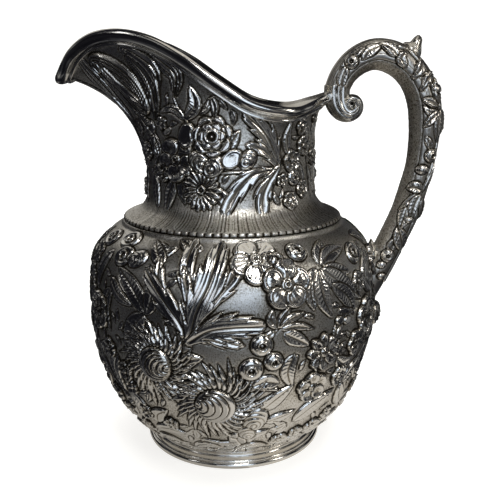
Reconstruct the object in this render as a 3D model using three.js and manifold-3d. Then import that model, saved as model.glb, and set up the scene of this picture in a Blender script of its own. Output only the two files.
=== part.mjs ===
// A footed silver water pitcher: raised body, neck with a high pouring lip, applied lip moulding,
// spun foot and a hollow scroll handle. Every piece is a separate part, soldered to its neighbours.
// Millimetres, +Z up. The vessel's axis is the Z axis of the group, the handle lies towards +X
// and the spout towards -X. The group is then shifted so that the origin is on the table, under
// the middle of the pitcher's overall length.

import * as THREE from 'three';
import { mergeVertices } from 'three/addons/utils/BufferGeometryUtils.js';
import Module from 'manifold-3d';

const wasm = await Module();
wasm.setup();

// Driving dimensions

const WALL = 1.2;            // thickness of the raised silver
const GAP = 0.3;             // solder gap between touching pieces
const ROUND_SEGMENTS = 48;   // facets around the body and the foot
const NECK_COLUMNS = 60;     // facets around the neck and its lip

// Foot: a half-round wire with a flat underside, and a cove that carries the body
const FOOT_RADIUS = 50.6;
const WIRE_WIDTH = 4.6;
const WIRE_HEIGHT = 3.6;
const COVE_TOP = 8.9;

// Body: radius and height of the outer wall, from the foot to the shoulder seam
const BODY_OUTLINE = [
	[ 49, 9.2 ], [ 54.6, 13 ], [ 60.6, 19 ], [ 66.5, 27 ], [ 71.4, 37 ],
	[ 75.2, 48 ], [ 78.2, 60 ], [ 80.2, 72 ], [ 80.8, 84 ], [ 80.3, 96 ],
	[ 78.8, 106.5 ], [ 75.3, 116 ], [ 70, 123 ], [ 64.8, 127.1 ], [ 60.3, 129.8 ],
];
const BODY_STEPS = 18;
// The underside, pushed up in the middle
const BOTTOM_DOME = [ [ 0, 11.6 ], [ 30, 10.8 ], [ 45, 9.3 ] ];

// Neck: the flared skirt that stands on the shoulder, then the waist, then the wall up to the lip
const SKIRT_OUTLINE = [ [ 60.4, 130.5 ], [ 60.2, 131.5 ], [ 55, 133.5 ], [ 50.6, 136.8 ], [ 48.2, 142 ] ];
const WAIST_HEIGHT = 150;
const WAIST_RADIUS = 47;
const WAIST_SHIFT = 1;       // the waist is this much fuller towards the spout
const WALL_ROWS = 8;         // rows from the waist to the lip

// Lip: x, half width, height and the wall's rise in degrees, from the handle to the spout's tip
const LIP = [
	[ 52.4, 0, 196.6, 45 ], [ 45, 26, 193.4, 45 ], [ 31, 43, 189.8, 45 ],
	[ 12, 48.6, 193, 54 ], [ - 7, 47.2, 204.4, 64 ], [ - 24, 42.8, 216.2, 74 ],
	[ - 40, 36.6, 224, 80 ], [ - 56, 30.2, 227, 80 ], [ - 70, 23.9, 225.2, 72 ],
	[ - 81.5, 17.4, 218.4, 52 ], [ - 89.4, 9.8, 208.8, 26 ], [ - 93.6, 0, 204.2, 6 ],
];
// How long the wall stays upright, and how early it turns to the lip's own rise,
// each at the handle and at the spout
const LOWER_REACH = [ 0.5, 0.62 ];
const UPPER_REACH = [ 0.25, 0.38 ];

// Lip moulding: section as [distance down the wall from the lip, height off the wall]
const MOULDING = [
	[ 6.2, 0 ], [ 6.9, 0.8 ], [ 6.2, 1.5 ], [ 5.3, 1.2 ], [ 3.4, 2.4 ], [ 1.6, 2.6 ],
	[ - 0.2, 2.2 ], [ - 1, 1.2 ], [ - 0.6, GAP ], [ 1.8, 0 ], [ 4.3, 0 ],
];
const MOULDING_DEPTH = 2.6;
const NECK_EDGE = 0.8;       // the neck's own edge stays this far under the moulding's roll

// Handle: [x, height, half depth] along its centre line, from inside the body to inside the scroll
const HANDLE = [
	[ 75, 85, 8 ], [ 82.5, 99.5, 8 ], [ 90.4, 116, 8 ], [ 96.8, 131, 8.1 ], [ 100.4, 143.5, 8 ],
	[ 103.5, 156.5, 7.9 ], [ 105, 170, 8.3 ], [ 105.3, 182, 9 ], [ 104, 192.5, 9.2 ], [ 100, 202.5, 9 ],
	[ 93.5, 210.5, 8.9 ], [ 85, 215.6, 8.8 ], [ 75.5, 216.8, 8.3 ], [ 66.5, 213, 7.8 ], [ 60.2, 206.4, 7.2 ],
	[ 57, 199, 6.9 ], [ 56.8, 192, 6.5 ],
];
const HANDLE_STEPS = 30;
const HANDLE_ARC_STEPS = 8;
const HANDLE_WIDTH_RATIO = 1.15;   // half width over half depth
const HANDLE_WALL = 1.3;
const SCROLL_TOP = 197.7;          // level of the joint between handle and scroll
const SCROLL_HALF_WIDTH = 8;
const SCROLL_OUTLINE = [
	[ 63.7, 197.7 ], [ 67.4, 195.8 ], [ 70.2, 193.8 ], [ 71.3, 190.8 ],
	[ 70.8, 187.2 ], [ 67.8, 182.8 ], [ 62.4, 181.2 ], [ 57.3, 182.8 ],
	[ 52.7, 187 ], [ 50.7, 192 ], [ 50.1, 197.7 ],
];

// Thumb spur: a curled leaf tip on the crown of the handle, drawn in the plane of the handle
const SPUR_OUTLINE = [
	[ 90.8, 216 ], [ 91.4, 223.4 ], [ 95.1, 223.7 ], [ 96.9, 225.5 ], [ 99.3, 226.8 ],
	[ 101.1, 225 ], [ 101, 221.4 ], [ 100.2, 216 ], [ 97, 212 ],
];
const SPUR_HALF_WIDTH = 4;

// Root leaf: a leaf tip that stands in the corner between the handle's inner side and the shoulder
const ROOT_LEAF_OUTLINE = [
	[ 72, 102 ], [ 72.4, 112 ], [ 74.6, 115 ], [ 78.2, 116.8 ],
	[ 81.6, 115.4 ], [ 86, 112 ], [ 84, 102 ],
];
const ROOT_LEAF_HALF_WIDTH = 6;

// Helpers

// A closed solid from points and triangles, turned so that its faces point out.
function closedGeometry( points, index ) {

	let volume = 0;
	for ( let i = 0; i < index.length; i += 3 ) {

		const [ a, b, c ] = [ points[ index[ i ] ], points[ index[ i + 1 ] ], points[ index[ i + 2 ] ] ];
		volume += a.dot( b.clone().cross( c ) );

	}

	const faces = volume < 0 ? index.slice().reverse() : index;
	const geometry = new THREE.BufferGeometry().setFromPoints( points );
	geometry.setIndex( faces );
	return geometry;

}

// Joins closed rings of points into a ring-shaped skin, the last ring back to the first.
function loopSkin( rings ) {

	const n = rings[ 0 ].length;
	const index = [];
	rings.forEach( ( ring, i ) => {

		const next = ( i + 1 ) % rings.length;
		for ( let j = 0; j < n; j ++ ) {

			const k = ( j + 1 ) % n;
			const [ a, b, c, d ] = [ i * n + j, i * n + k, next * n + k, next * n + j ];
			index.push( a, b, c, a, c, d );

		}

	} );
	return closedGeometry( rings.flat(), index );

}

// Joins closed rings of points into a bar with capped ends. section is the ring's flat shape.
function bar( rings, section ) {

	const n = section.length;
	const last = ( rings.length - 1 ) * n;
	const index = [];
	for ( let i = 0; i < rings.length - 1; i ++ ) {

		for ( let j = 0; j < n; j ++ ) {

			const k = ( j + 1 ) % n;
			const [ a, b, c, d ] = [ i * n + j, i * n + k, ( i + 1 ) * n + k, ( i + 1 ) * n + j ];
			index.push( a, b, c, a, c, d );

		}

	}

	const side = THREE.ShapeUtils.isClockWise( section ) ? 1 : - 1;
	for ( const [ a, b, c ] of THREE.ShapeUtils.triangulateShape( section, [] ) ) {

		index.push( ...( side > 0 ? [ a, b, c ] : [ c, b, a ] ) );
		index.push( ...( side > 0 ? [ last + c, last + b, last + a ] : [ last + a, last + b, last + c ] ) );

	}

	return closedGeometry( rings.flat(), index );

}

// The same outline moved sideways by a distance, to its left when the distance is positive.
function offsetOutline( outline, distance ) {

	return outline.map( ( point, i ) => {

		const before = outline[ Math.max( i - 1, 0 ) ];
		const after = outline[ Math.min( i + 1, outline.length - 1 ) ];
		const along = after.clone().sub( before ).normalize();
		return new THREE.Vector2( point.x - along.y * distance, point.y + along.x * distance );

	} );

}

function toVectors( pairs ) {

	return pairs.map( ( [ x, y ] ) => new THREE.Vector2( x, y ) );

}

// A solid of revolution about Z. LatheGeometry turns about Y, so it is stood up.
function lathe( profile, segments = ROUND_SEGMENTS ) {

	return new THREE.LatheGeometry( profile, segments ).rotateX( Math.PI / 2 );

}

// A plate with an outline in the XZ plane, centred on Y = 0.
function plate( shape, halfWidth, curveSegments = 6 ) {

	const options = { depth: 2 * halfWidth, bevelEnabled: false, curveSegments };
	return new THREE.ExtrudeGeometry( shape, options ).rotateX( Math.PI / 2 ).translate( 0, halfWidth, 0 );

}

function splineShape( outline ) {

	const [ start, ...rest ] = toVectors( outline );
	const shape = new THREE.Shape();
	shape.moveTo( start.x, start.y );
	shape.splineThru( rest );
	return shape;

}

function toManifold( geometry ) {

	const bare = geometry.clone();
	bare.deleteAttribute( 'normal' );
	bare.deleteAttribute( 'uv' );
	const merged = mergeVertices( bare, 1e-4 );
	const vertProperties = new Float32Array( merged.attributes.position.array );
	const triVerts = new Uint32Array( merged.index.array );
	return new wasm.Manifold( new wasm.Mesh( { numProp: 3, vertProperties, triVerts } ) );

}

// The geometry with each of the cutters taken away.
function cut( geometry, ...cutters ) {

	const start = toManifold( geometry );
	const rest = cutters.reduce( ( solid, cutter ) => solid.subtract( toManifold( cutter ) ), start );
	const mesh = rest.getMesh();
	const result = new THREE.BufferGeometry();
	result.setAttribute( 'position', new THREE.BufferAttribute( new Float32Array( mesh.vertProperties ), 3 ) );
	result.setIndex( [ ...mesh.triVerts ] );
	return result;

}

// Body

function bodyWall() {

	const curve = new THREE.SplineCurve( toVectors( BODY_OUTLINE ) );
	return [ ...toVectors( BOTTOM_DOME ), ...curve.getSpacedPoints( BODY_STEPS ) ];

}

function bodyShell() {

	const outer = bodyWall();
	const inner = offsetOutline( outer, WALL );
	inner[ 0 ].x = 0;
	return lathe( [ ...outer, ...inner.reverse() ] );

}

// The whole outside of the body, grown by a gap, for cutting what is soldered to it.
function bodyCutter( gap ) {

	const grown = offsetOutline( bodyWall(), - gap );
	grown[ 0 ].x = 0;
	return lathe( [ ...grown, new THREE.Vector2( 0, grown.at( - 1 ).y ) ] );

}

// Foot

function footWire() {

	const inner = FOOT_RADIUS - WIRE_WIDTH;
	const flatEdge = FOOT_RADIUS - 1.2;
	const middle = new THREE.Vector2( inner + WIRE_WIDTH / 2, WIRE_HEIGHT / 2 );
	const bulge = new THREE.EllipseCurve(
		middle.x, middle.y, WIRE_WIDTH / 2, WIRE_HEIGHT / 2, - Math.PI / 3, Math.PI / 3 );
	const under = toVectors( [ [ inner, 0 ], [ flatEdge, 0 ] ] );
	const over = toVectors( [ [ flatEdge, WIRE_HEIGHT ], [ inner, WIRE_HEIGHT ], [ inner, 0 ] ] );
	return lathe( [ ...under, ...bulge.getPoints( 4 ), ...over ] );

}

function footCove() {

	const bottom = WIRE_HEIGHT + GAP;
	const section = toVectors( [
		[ 49.3, bottom ], [ 48.9, bottom + 0.8 ], [ 46.8, bottom + 1.9 ], [ 46.5, bottom + 3.4 ],
		[ 48.6, COVE_TOP ], [ 46.4, COVE_TOP ], [ 45, bottom + 3.2 ], [ 45.2, bottom + 1.2 ],
		[ 46.2, bottom ], [ 49.3, bottom ],
	] );
	return lathe( section );

}

// Neck

// The closed line of the lip. u runs once around it, evenly, from the handle to the spout and back.
const otherSide = LIP.slice( 1, - 1 ).reverse().map( ( [ x, y, z, rise ] ) => [ x, - y, z, rise ] );
const lipKnots = [ ...LIP, ...otherSide ];
const lipPlaces = lipKnots.map( ( [ x, y, z ] ) => new THREE.Vector3( x, y, z ) );
const lipLine = new THREE.CatmullRomCurve3( lipPlaces, true, 'centripetal' );

// The wall under one place on the lip, as a curve of radius and height in an upright plane
// through the axis.
function wallCurve( u ) {

	const t = lipLine.getUtoTmapping( THREE.MathUtils.euclideanModulo( u, 1 ) );
	const point = lipLine.getPoint( t );
	const knot = t * lipKnots.length;
	const from = lipKnots[ Math.floor( knot ) % lipKnots.length ];
	const to = lipKnots[ Math.ceil( knot ) % lipKnots.length ];
	const rise = THREE.MathUtils.degToRad( THREE.MathUtils.lerp( from[ 3 ], to[ 3 ], knot % 1 ) );
	const turn = Math.atan2( point.y, point.x );
	const spoutward = ( 1 - Math.cos( turn ) ) / 2;
	const foot = new THREE.Vector2( WAIST_RADIUS - WAIST_SHIFT * Math.cos( turn ), WAIST_HEIGHT );
	const lip = new THREE.Vector2( Math.hypot( point.x, point.y ), point.z );
	const upright = THREE.MathUtils.lerp( ...LOWER_REACH, spoutward ) * ( lip.y - foot.y );
	const reach = THREE.MathUtils.lerp( ...UPPER_REACH, spoutward ) * foot.distanceTo( lip );
	const lower = new THREE.Vector2( foot.x, foot.y + upright );
	const upper = new THREE.Vector2( lip.x - reach * Math.cos( rise ), lip.y - reach * Math.sin( rise ) );
	return { turn, curve: new THREE.CubicBezierCurve( foot, lower, upper, lip ) };

}

// A point in the upright plane at an angle around the axis, as x, y, z.
function swing( p, turn ) {

	return new THREE.Vector3( p.x * Math.cos( turn ), p.x * Math.sin( turn ), p.y );

}

// The place on the wall that lies a distance down from the lip.
function wallPoint( u, down ) {

	const { turn, curve } = wallCurve( u );
	return swing( curve.getPointAt( 1 - down / curve.getLength() ), turn );

}

// The neck's skin, with its outside and its inside moved away from the wall's own surface.
function neckSkin( outward, inward ) {

	const columns = Array.from( { length: NECK_COLUMNS }, ( _, i ) => {

		const { turn, curve } = wallCurve( i / NECK_COLUMNS );
		const rowStep = ( 1 - NECK_EDGE / curve.getLength() ) / ( WALL_ROWS - 1 );
		const wall = Array.from( { length: WALL_ROWS }, ( _, j ) => curve.getPointAt( rowStep * j ) );
		return [ ...toVectors( SKIRT_OUTLINE ), ...wall ].map( ( p ) => swing( p, turn ) );

	} );
	return loopSkin( columns.map( ( column, i ) => {

		const before = columns.at( i - 1 );
		const after = columns[ ( i + 1 ) % columns.length ];
		const normals = column.map( ( _, j ) => {

			const above = column[ Math.min( j + 1, column.length - 1 ) ];
			const climb = above.clone().sub( column[ Math.max( j - 1, 0 ) ] );
			return after[ j ].clone().sub( before[ j ] ).cross( climb ).normalize();

		} );
		const outer = column.map( ( p, j ) => p.clone().addScaledVector( normals[ j ], outward ) );
		const inner = column.map( ( p, j ) => p.clone().addScaledVector( normals[ j ], - inward ) );
		return [ ...outer, ...inner.reverse() ];

	} ) );

}

function neckShell() {

	return neckSkin( 0, WALL );

}

// The moulding's band runs square to the lip line, down the outside of the wall.
function lipMoulding() {

	const step = 0.25 / NECK_COLUMNS;
	const rings = Array.from( { length: NECK_COLUMNS }, ( _, i ) => {

		const u = i / NECK_COLUMNS;
		const lip = wallPoint( u, 0 );
		const around = wallPoint( u + step, 0 ).sub( wallPoint( u - step, 0 ) ).divideScalar( 2 * step );
		const down = wallPoint( u, 1 ).sub( lip );
		const slip = - around.dot( down ) / around.lengthSq();
		const square = down.clone().addScaledVector( around, slip );
		const stretch = 1 / square.length();
		const normal = around.clone().cross( down ).normalize().negate();
		return MOULDING.map( ( [ distance, height ] ) => {

			const place = distance < 0
				? lip.clone().addScaledVector( square, distance * stretch )
				: wallPoint( u + slip * stretch * distance, stretch * distance );
			return place.addScaledVector( normal, height );

		} );

	} );
	return cut( loopSkin( rings ), neckSkin( GAP, WALL + GAP ) );

}

// A turned solid that fills the neck and its moulding at the handle's side, grown by the gap.
function rimCutter( gap ) {

	const wall = wallCurve( 0 ).curve.getSpacedPoints( 12 );
	const outside = offsetOutline( wall, - ( MOULDING_DEPTH + gap ) );
	const top = wall.at( - 1 ).y + 1 + gap;
	return lathe( [ new THREE.Vector2( 0, wall[ 0 ].y ), ...outside,
		new THREE.Vector2( outside.at( - 1 ).x, top ), new THREE.Vector2( 0, top ) ], 96 );

}

// Handle

// Rings of points along the handle. sectionAt gives the flat section for a half depth.
function handleBar( sectionAt ) {

	// The Y coordinate of this curve carries the half depth.
	const knots = HANDLE.map( ( [ x, z, depth ] ) => new THREE.Vector3( x, depth, z ) );
	const line = new THREE.CatmullRomCurve3( knots );
	const rings = [];
	for ( let i = 0; i <= HANDLE_STEPS; i ++ ) {

		const place = line.getPointAt( i / HANDLE_STEPS );
		const along = line.getTangentAt( i / HANDLE_STEPS ).setY( 0 ).normalize();
		const outward = new THREE.Vector3( along.z, 0, - along.x );
		rings.push( sectionAt( place.y ).map( ( { x, y } ) =>
			new THREE.Vector3( place.x, 0, place.z ).addScaledVector( outward, x ).setY( y ) ) );

	}

	return bar( rings, sectionAt( HANDLE[ 0 ][ 2 ] ) );

}

// A half-round channel. side is 1 for the outer half and -1 for the inner half of the handle.
function channel( halfDepth, side ) {

	const halfWidth = halfDepth * HANDLE_WIDTH_RATIO;
	const arc = ( depth, width ) => Array.from( { length: HANDLE_ARC_STEPS + 1 }, ( _, i ) => {

		const angle = Math.PI * ( i / HANDLE_ARC_STEPS - 0.5 );
		return new THREE.Vector2( side * ( GAP / 2 + depth * Math.cos( angle ) ), width * Math.sin( angle ) );

	} );
	const outer = arc( halfDepth - GAP / 2, halfWidth );
	const inner = arc( halfDepth - GAP / 2 - HANDLE_WALL, halfWidth - HANDLE_WALL );
	return [ ...outer, ...inner.reverse() ];

}

function handleShell( side ) {

	const belowJoint = new THREE.BoxGeometry( 40, 40, 40 ).translate( 58, 0, SCROLL_TOP + GAP - 20 );
	return cut( handleBar( ( depth ) => channel( depth, side ) ), bodyCutter( GAP ), belowJoint );

}

// The full outside of the handle, grown by a gap, for cutting what is soldered to it.
function handleCutter( gap ) {

	return handleBar( ( depth ) => Array.from( { length: 4 * HANDLE_ARC_STEPS }, ( _, i ) => {

		const angle = 2 * Math.PI * i / ( 4 * HANDLE_ARC_STEPS );
		const halfWidth = depth * HANDLE_WIDTH_RATIO + gap;
		return new THREE.Vector2( ( depth + gap ) * Math.cos( angle ), halfWidth * Math.sin( angle ) );

	} ) );

}

function handleScroll() {

	return cut( plate( splineShape( SCROLL_OUTLINE ), SCROLL_HALF_WIDTH, 3 ), rimCutter( GAP ) );

}

function thumbSpur() {

	return cut( plate( splineShape( SPUR_OUTLINE ), SPUR_HALF_WIDTH, 2 ), handleCutter( GAP ) );

}

function rootLeaf() {

	const leaf = plate( splineShape( ROOT_LEAF_OUTLINE ), ROOT_LEAF_HALF_WIDTH, 2 );
	return cut( leaf, handleCutter( GAP ), bodyCutter( GAP ) );

}

// Assembly

function silver( name, roughness ) {

	return new THREE.MeshStandardMaterial( { name, color: 0xc6c4be, metalness: 1, roughness } );

}

const chasedSilver = silver( 'chased_silver', 0.34 );
const polishedSilver = silver( 'polished_silver', 0.18 );
const castSilver = silver( 'cast_silver', 0.28 );

const pieces = [
	[ 'body_shell', bodyShell(), chasedSilver ],
	[ 'neck_shell', neckShell(), chasedSilver ],
	[ 'lip_moulding', lipMoulding(), polishedSilver ],
	[ 'foot_cove', footCove(), polishedSilver ],
	[ 'foot_wire', footWire(), polishedSilver ],
	[ 'handle_outer_shell', handleShell( 1 ), castSilver ],
	[ 'handle_inner_shell', handleShell( - 1 ), castSilver ],
	[ 'handle_scroll', handleScroll(), castSilver ],
	[ 'thumb_spur', thumbSpur(), castSilver ],
	[ 'handle_root_leaf', rootLeaf(), castSilver ],
];

const vessel = new THREE.Group();
for ( const [ name, geometry, material ] of pieces ) {

	const mesh = new THREE.Mesh( geometry, material );
	mesh.name = name;
	vessel.add( mesh );

}

const box = new THREE.Box3().setFromObject( vessel );
vessel.position.x = - ( box.min.x + box.max.x ) / 2;

const pitcher = new THREE.Group();
pitcher.add( vessel );
pitcher.updateMatrixWorld( true );

export default pitcher;
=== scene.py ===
"""A footed silver water pitcher: chased body and neck, lip moulding, spun foot, scroll handle.

Lengths are millimetres around the vessel's own axis, with the handle towards +X and the spout
towards -X. place() moves them to the frame's metres. Places on the body and neck are written as
(degrees around the axis from the handle, height); places on the handle as (millimetres along it
from its root, degrees around its section, 0 at the outside).
"""

import math

import bpy
import numpy as np
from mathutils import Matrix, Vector


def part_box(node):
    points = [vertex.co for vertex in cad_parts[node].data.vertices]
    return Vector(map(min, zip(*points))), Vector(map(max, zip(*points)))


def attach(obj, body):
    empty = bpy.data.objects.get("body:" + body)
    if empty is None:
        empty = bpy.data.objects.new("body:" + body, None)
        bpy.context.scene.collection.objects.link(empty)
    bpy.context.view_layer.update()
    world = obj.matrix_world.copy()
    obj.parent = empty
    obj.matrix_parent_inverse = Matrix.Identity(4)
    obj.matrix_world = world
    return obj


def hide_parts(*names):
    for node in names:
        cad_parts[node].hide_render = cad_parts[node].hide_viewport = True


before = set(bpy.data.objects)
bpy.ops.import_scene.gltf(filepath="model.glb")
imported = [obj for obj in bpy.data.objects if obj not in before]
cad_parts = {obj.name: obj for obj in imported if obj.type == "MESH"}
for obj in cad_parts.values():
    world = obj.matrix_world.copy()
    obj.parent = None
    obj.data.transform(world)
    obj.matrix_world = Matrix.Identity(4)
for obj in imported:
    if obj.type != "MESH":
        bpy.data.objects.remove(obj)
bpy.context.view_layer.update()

low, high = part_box("foot_wire")
AXIS_X = (low.x + high.x) / 2

# The vessel's dimensions
WALL = 1.2
BODY_OUTLINE = [
    (49, 9.2), (54.6, 13), (60.6, 19), (66.5, 27), (71.4, 37),
    (75.2, 48), (78.2, 60), (80.2, 72), (80.8, 84), (80.3, 96),
    (78.8, 106.5), (75.3, 116), (70, 123), (64.8, 127.1), (60.3, 129.8),
]
BOTTOM_DOME = [(2, 11.6), (15, 11.4), (30, 10.8), (45, 9.3)]
SKIRT_OUTLINE = [(60.4, 130.4), (60.1, 131.6), (55, 133.7), (50.6, 136.8), (48.2, 142), (47, 150)]
WAIST_RADIUS = 47
WAIST_HEIGHT = 150
WAIST_SHIFT = 1
# x, half width, height and rise in degrees of the lip, from the handle to the spout
LIP = [
    (52.4, 0, 196.6, 45), (45, 26, 193.4, 45), (31, 43, 189.8, 45),
    (12, 48.6, 193, 54), (-7, 47.2, 204.4, 64), (-24, 42.8, 216.2, 74),
    (-40, 36.6, 224, 80), (-56, 30.2, 227, 80), (-70, 23.9, 225.2, 72),
    (-81.5, 17.4, 218.4, 52), (-89.4, 9.8, 208.8, 26), (-93.6, 0, 204.2, 6),
]
LOWER_REACH = (0.5, 0.62)
UPPER_REACH = (0.25, 0.38)
# Section of the lip moulding: distance down the wall, height off it
MOULDING = [
    (6.4, -0.3), (6.9, 0.4), (6.8, 1.05), (6.3, 1.45), (5.75, 1.25), (5.35, 0.75), (4.9, 1.25),
    (4.0, 2.0), (2.9, 2.5), (1.8, 2.7), (0.6, 2.6), (-0.4, 2.1), (-1.0, 1.25), (-1.25, 0.3),
    (-1.05, -0.6), (-0.3, -1.2), (0.8, -1.5), (1.8, -1.3), (2.2, -0.6),
]
FOOT_WIRE = [
    (46.2, 0), (49.2, 0), (50.2, 0.6), (50.6, 1.6), (50.4, 2.6), (49.6, 3.4), (48.6, 3.7), (46.2, 3.7),
]
FOOT_COVE = [
    (49.3, 3.6), (49.4, 4.2), (48.8, 4.8), (47.4, 5.4), (46.6, 6.3), (46.6, 7.2), (47.4, 8.2),
    (48.8, 9.0), (49.6, 9.9), (47.6, 9.6), (45.2, 7.1), (45.2, 5.1), (46.0, 3.6),
]
# x, height and half depth of the handle along its centre line, from its root to its scroll
HANDLE = [
    (75, 85, 8), (82.5, 99.5, 8), (90.4, 116, 8), (96.8, 131, 8.1), (100.4, 143.5, 8),
    (103.5, 156.5, 7.9), (105, 170, 8.3), (105.3, 182, 9), (104, 192.5, 9.2), (100, 202.5, 9),
    (93.5, 210.5, 8.9), (85, 215.6, 8.8), (75.5, 216.8, 8.3), (66.5, 213, 7.8), (60.2, 206.4, 7.2),
    (57, 199, 6.9), (56.8, 196, 6.8),
]
HANDLE_WIDTH_RATIO = 1.15
# x, height, half depth and half width of the rolled pieces at the ends of the handle
SCROLL = [
    (56.9, 201, 6.8, 7.8), (56.8, 196, 6.8, 7.8), (57.6, 191, 6.4, 7.9), (60.2, 187, 5.3, 8.0),
    (63.6, 185.7, 4.3, 8.1), (66.6, 187.1, 3.8, 8.2), (67.8, 190.1, 3.3, 8.3), (66.6, 192.9, 2.9, 8.4),
    (64.0, 193.6, 2.4, 8.6), (62.2, 191.9, 2.0, 8.9), (62.6, 189.9, 1.8, 9.2), (64.3, 189.9, 1.4, 9.4),
]
# Side outlines of the leaf tips: x and height
SPUR_OUTLINE = [
    (90.8, 216), (91.6, 222.9), (95.1, 223.5), (97.0, 225.6), (99.3, 226.9),
    (101.1, 225), (100.9, 221.4), (100.6, 216), (97, 212),
]
SPUR_HALF_WIDTH = 4
ROOT_OUTLINE = [
    (72, 102), (73.4, 110), (75.2, 114), (77.2, 113.2), (78.6, 116), (80.6, 113.6),
    (82.6, 114), (85, 110), (84, 102),
]
ROOT_HALF_WIDTH = 5.5
SEAM_TURN = 112        # where the stippled inside of the handle begins, in degrees from its outside

ASIDE = np.array([0, 1.0, 0])

# Fineness of the relief, in grid cells
BODY_GRID = (310, 1000)
NECK_GRID = (200, 660)
HANDLE_GRID = (420, 132)

GROUND_DEPTH = 1.3     # the ground lies this far inside the smooth outline
GROOVE_DEPTH = 0.38    # sunk line around every raised form
GROOVE_WIDTH = 0.5
TOOTH_SLANT = 1.3      # how far the teeth of an acanthus lobe lean towards its tip
DRAWING_REACH = 60     # the board that a long form is drawn on reaches this far
# Size and number of tries of the small motifs that fill the gaps, the biggest first
BODY_FILLING = [(6.5, 500), (4.5, 1500), (3.0, 2500)]
NECK_FILLING = [(5.0, 300), (3.6, 900), (2.6, 1500)]
# Patina for each millimetre that a point lies below its nearest and its wider surroundings
PATINA_NEAR = 2.2
PATINA_WIDE = 0.5
PATINA_LEAST = 0.02
BODY_DULL = 0.25       # patina of the smooth inside and underside
NECK_DULL = 0.2
SHELL = 1.6 * WALL     # from the smooth outline to the inside, as the relief needs more room
HANDLE_SHELL = 1.6
BODY_SHELL_ROWS = 26   # fineness of the smooth insides
NECK_SHELL_ROWS = 18
HANDLE_SHELL_COLUMNS = 9

# The skirt of the neck: notches along the seam, flutes above them, and the heights where they fade
NOTCHES = 92
NOTCH_DEPTH = 0.6
NOTCH_SHARPNESS = 0.4
NOTCH_TOP = 132.0
FLUTES = 210
FLUTE_DEPTH = 0.34
FLUTES_BEGIN = (131.4, 133)
FLUTES_END = (138, 142.5)
GROUND_SINKS = (131.5, 142)
CHASING_ENDS = (0.93, 0.96)  # shares of the way up the neck's wall
NECK_BENDS = 134             # above this height the skirt follows the neck's own shape
NECK_STOPS = 0.8             # the wall ends this far down inside the lip moulding

# The lip moulding: cuts around the lip, cuts around its section, and steps down the wall
LIP_CUTS = 720
MOULDING_CUTS = 72
WALL_STEP = 0.25
WALL_REACH = 10

# The handle's plain surfaces: reeds on the arch, the seam and the bark of the inside
REEDS = 36
REED_DEPTH = 0.2
REEDS_BEGIN = (132, 146)     # distance along the handle
REEDS_END = (50, 64)         # degrees from the outside
SEAM_DEPTH = 0.4
SEAM_HALF_WIDTH = 2.5        # degrees
SEAM_FADE = 4
BARK_DEPTH = 0.2
BARK_FADE = 8
INSIDE_DULL = 0.08           # extra patina of the inside
OUTSIDE_MATTING = 0.35       # share of the inside's matting that the outside's ground has
HANDLE_SINK = 0.25           # the ground lies this far inside the smooth tube
BODY_OVERLAP = 0.5           # the handle's root stops this far inside the body's ground


# Curves and grids

def spline(knots, closed=False, steps=24):
    """Points along a centripetal Catmull-Rom curve, with the same number of steps to each knot."""
    knots = np.asarray(knots, float)
    if closed:
        padded = np.vstack([knots[-1:], knots, knots[:2]])
    else:
        padded = np.vstack([2 * knots[:1] - knots[1:2], knots, 2 * knots[-1:] - knots[-2:-1]])
    spans = len(padded) - 3
    w = np.linspace(0, 1, steps, endpoint=False)[:, None]
    parts = []
    for i in range(spans):
        p0, p1, p2, p3 = padded[i:i + 4]
        a, b, c = (max(np.linalg.norm(q - p), 1e-6) ** 0.5 for p, q in ((p0, p1), (p1, p2), (p2, p3)))
        leave = ((p1 - p0) / a - (p2 - p0) / (a + b) + (p2 - p1) / b) * b
        arrive = ((p2 - p1) / b - (p3 - p1) / (b + c) + (p3 - p2) / c) * b
        cubic = 2 * (p1 - p2) + leave + arrive
        square = 3 * (p2 - p1) - 2 * leave - arrive
        parts.append(p1 + leave * w + square * w ** 2 + cubic * w ** 3)
    parts.append(padded[spans + 1][None])
    return np.vstack(parts)


def run_along(points, dims=None):
    """Distance travelled at each point of a line."""
    steps = np.linalg.norm(np.diff(points[:, :dims], axis=0), axis=1)
    return np.concatenate([[0], np.cumsum(steps)])


def at_distance(points, distance, dims=None):
    """Points of a line at the given distances along it."""
    run = run_along(points, dims)
    return np.stack([np.interp(distance, run, column) for column in points.T], -1)


def resample(points, count, dims=None, closed=False):
    """The line cut into equal steps."""
    length = run_along(points, dims)[-1]
    return at_distance(points, np.linspace(0, length, count, endpoint=not closed), dims)


def smoothstep(value, start=0.0, end=1.0):
    t = np.clip((value - start) / (end - start), 0, 1)
    return t * t * (3 - 2 * t)


def bell(value, width):
    """1 where the value is 0, falling away on both sides."""
    return np.exp(-(value / width) ** 2)


def unit(vectors):
    return vectors / np.maximum(np.linalg.norm(vectors, axis=-1, keepdims=True), 1e-9)


def polar(radius, angle):
    """x and y of a point on a circle."""
    return radius * math.cos(angle), radius * math.sin(angle)


def turns(count, start=0.0):
    """Angles spaced evenly round a circle."""
    return [start + 2 * math.pi * k / count for k in range(count)]


def lathe(profile, columns):
    """A grid of points from (radius, height) rows turned around the axis."""
    profile = np.asarray(profile, float)
    turn = np.linspace(0, 2 * np.pi, columns, endpoint=False)
    radius = profile[:, :1]
    x, y = radius * np.cos(turn), radius * np.sin(turn)
    return np.stack([x, y, np.repeat(profile[:, 1:2], columns, 1)], -1)


def grid_normals(points):
    """Outward normals of a grid whose columns run around the axis and whose rows climb."""
    around = np.roll(points, -1, 1) - np.roll(points, 1, 1)
    climb = np.gradient(points, axis=0)
    return unit(np.cross(around, climb))


def new_object(name, data):
    """An object in the scene."""
    made = bpy.data.objects.new(name, data)
    bpy.context.scene.collection.objects.link(made)
    return made


def place(points):
    """From millimetres around the vessel's axis to the frame's metres."""
    return points / 1000 + np.array([AXIS_X, 0, 0])


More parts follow.
